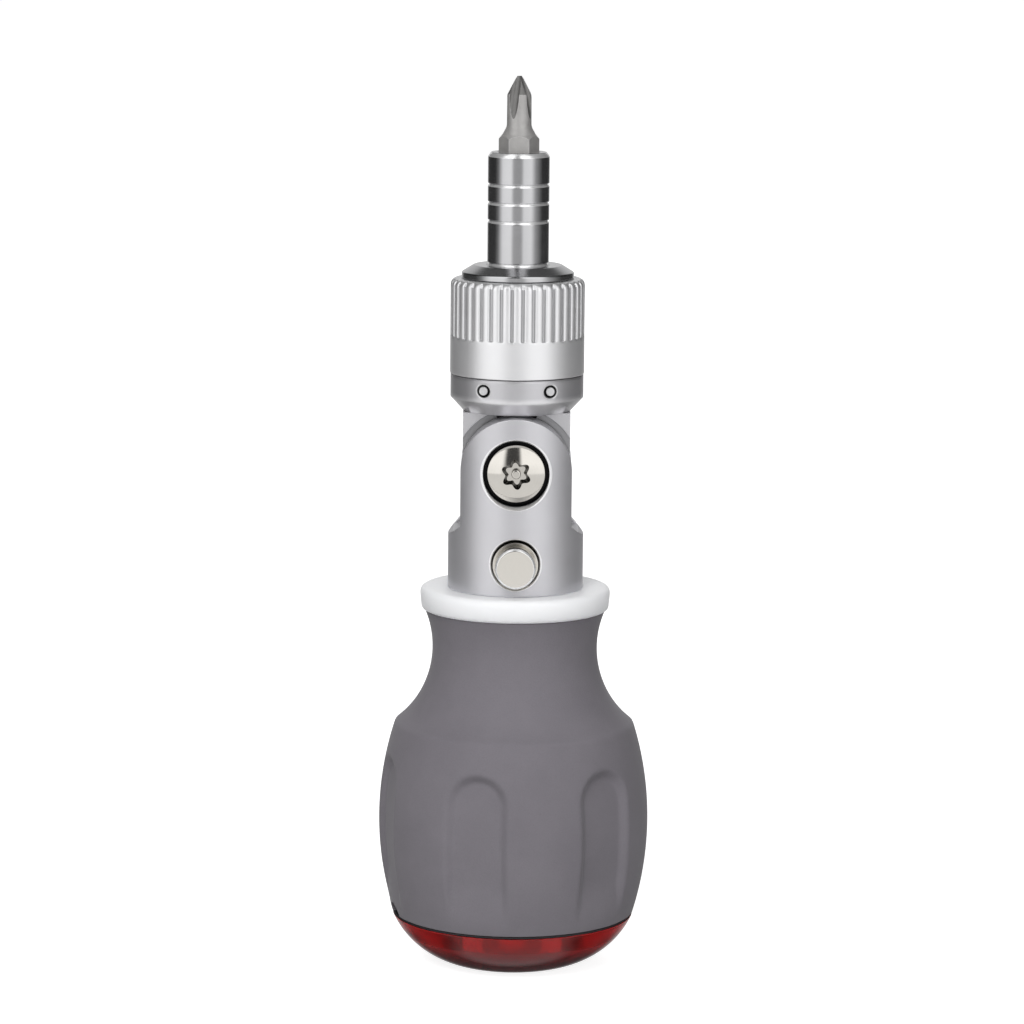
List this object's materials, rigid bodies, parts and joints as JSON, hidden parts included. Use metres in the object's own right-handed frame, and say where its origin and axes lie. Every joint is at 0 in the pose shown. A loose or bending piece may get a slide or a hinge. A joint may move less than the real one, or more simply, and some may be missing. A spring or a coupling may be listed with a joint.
{
  "type": "ratcheting screwdriver",
  "caption": "Stubby ratcheting screwdriver with a swivelling lockable head, knurled selector collar, fluted soft grip and a clear red cap over a bit store.",
  "frame": {"origin": "centre of the flat foot under the end cap", "axes": "+Z along the handle towards the driver tip, -Y towards the pivot screw and the lock button"},
  "size_m": [0.0496, 0.0496, 0.1636],
  "materials": {
    "soft_grip": "matt",
    "hard_core": "moulded",
    "white_ring": "satin",
    "red_clear": "clear",
    "black_seal": "matt",
    "bit_steel": "matt",
    "dark_steel": "oiled",
    "satin_steel": "satin",
    "satin_alloy": "satin",
    "bright_chrome": "polished",
    "nickel": "polished",
    "bronze": "turned"
  },
  "bodies": {
    "handle": {"grip": "soft_grip", "handle_core": "hard_core", "neck_ring": "white_ring", "bit_carrier": "hard_core", "stored_cross_bits": "bit_steel", "stored_slot_bits": "bit_steel", "stored_hex_bits": "bit_steel", "stored_square_bits": "bit_steel", "shank_screw": "dark_steel", "shank_washer": "dark_steel", "yoke": "satin_steel", "pivot_screw": "nickel", "pivot_barrel": "nickel", "thrust_washers": "satin_steel", "lock_spring": "dark_steel"},
    "cap": {"end_cap": "red_clear", "cap_seal": "black_seal"},
    "button": {"lock_button": "nickel"},
    "shoe": {"brake_shoe": "bronze"},
    "head": {"pivot_head": "satin_steel", "ratchet_housing": "satin_steel", "head_pins": "satin_steel", "pawl_pin": "dark_steel", "nose_ring": "bright_chrome", "spindle_bush": "bronze", "foot_bush": "bronze", "gear_washer": "satin_steel"},
    "selector": {"selector_collar": "satin_alloy", "selector_ball": "bright_chrome", "selector_spring": "dark_steel"},
    "pawl": {"pawl": "dark_steel"},
    "spindle": {"ratchet_gear": "dark_steel", "bit_holder": "bright_chrome", "bit_magnet": "dark_steel"},
    "bit": {"driver_bit": "bit_steel"}
  },
  "joints": [
    {"name": "head_pivot", "type": "hinge", "parent": "handle", "child": "head", "pos_m": [0, 0, 0.09265], "axis": [0, 1, 0], "range_deg": [-90, 90]},
    {"name": "selector_turn", "type": "hinge", "parent": "head", "child": "selector", "pos_m": [0, 0, 0.118], "axis": [0, 0, 1], "range_deg": [-15, 15]},
    {"name": "pawl_rock", "type": "hinge", "parent": "head", "child": "pawl", "pos_m": [0, 0.00735, 0.115], "axis": [0, 0, 1], "range_deg": [-10, 10]},
    {"name": "spindle_spin", "type": "hinge", "parent": "head", "child": "spindle", "pos_m": [0, 0, 0.12], "axis": [0, 0, 1], "continuous": true},
    {"name": "bit_pull", "type": "slide", "parent": "spindle", "child": "bit", "axis": [0, 0, 1], "range_m": [0, 0.014]},
    {"name": "button_press", "type": "slide", "parent": "handle", "child": "button", "axis": [0, 1, 0], "range_m": [0, 0.0025], "stiffness_N_per_m": 800},
    {"name": "shoe_drop", "type": "slide", "parent": "handle", "child": "shoe", "axis": [0, 0, -1], "range_m": [0, 0.00125], "deforming": ["lock_spring"]},
    {"name": "cap_pull", "type": "slide", "parent": "cap", "child": "handle", "axis": [0, 0, 1], "range_m": [0, 0.015]}
  ],
  "couplings": [
    {"joint": "pawl_rock", "follows": "selector_turn", "ratio": 0.66667},
    {"joint": "shoe_drop", "follows": "button_press", "ratio": 0.5}
  ]
}
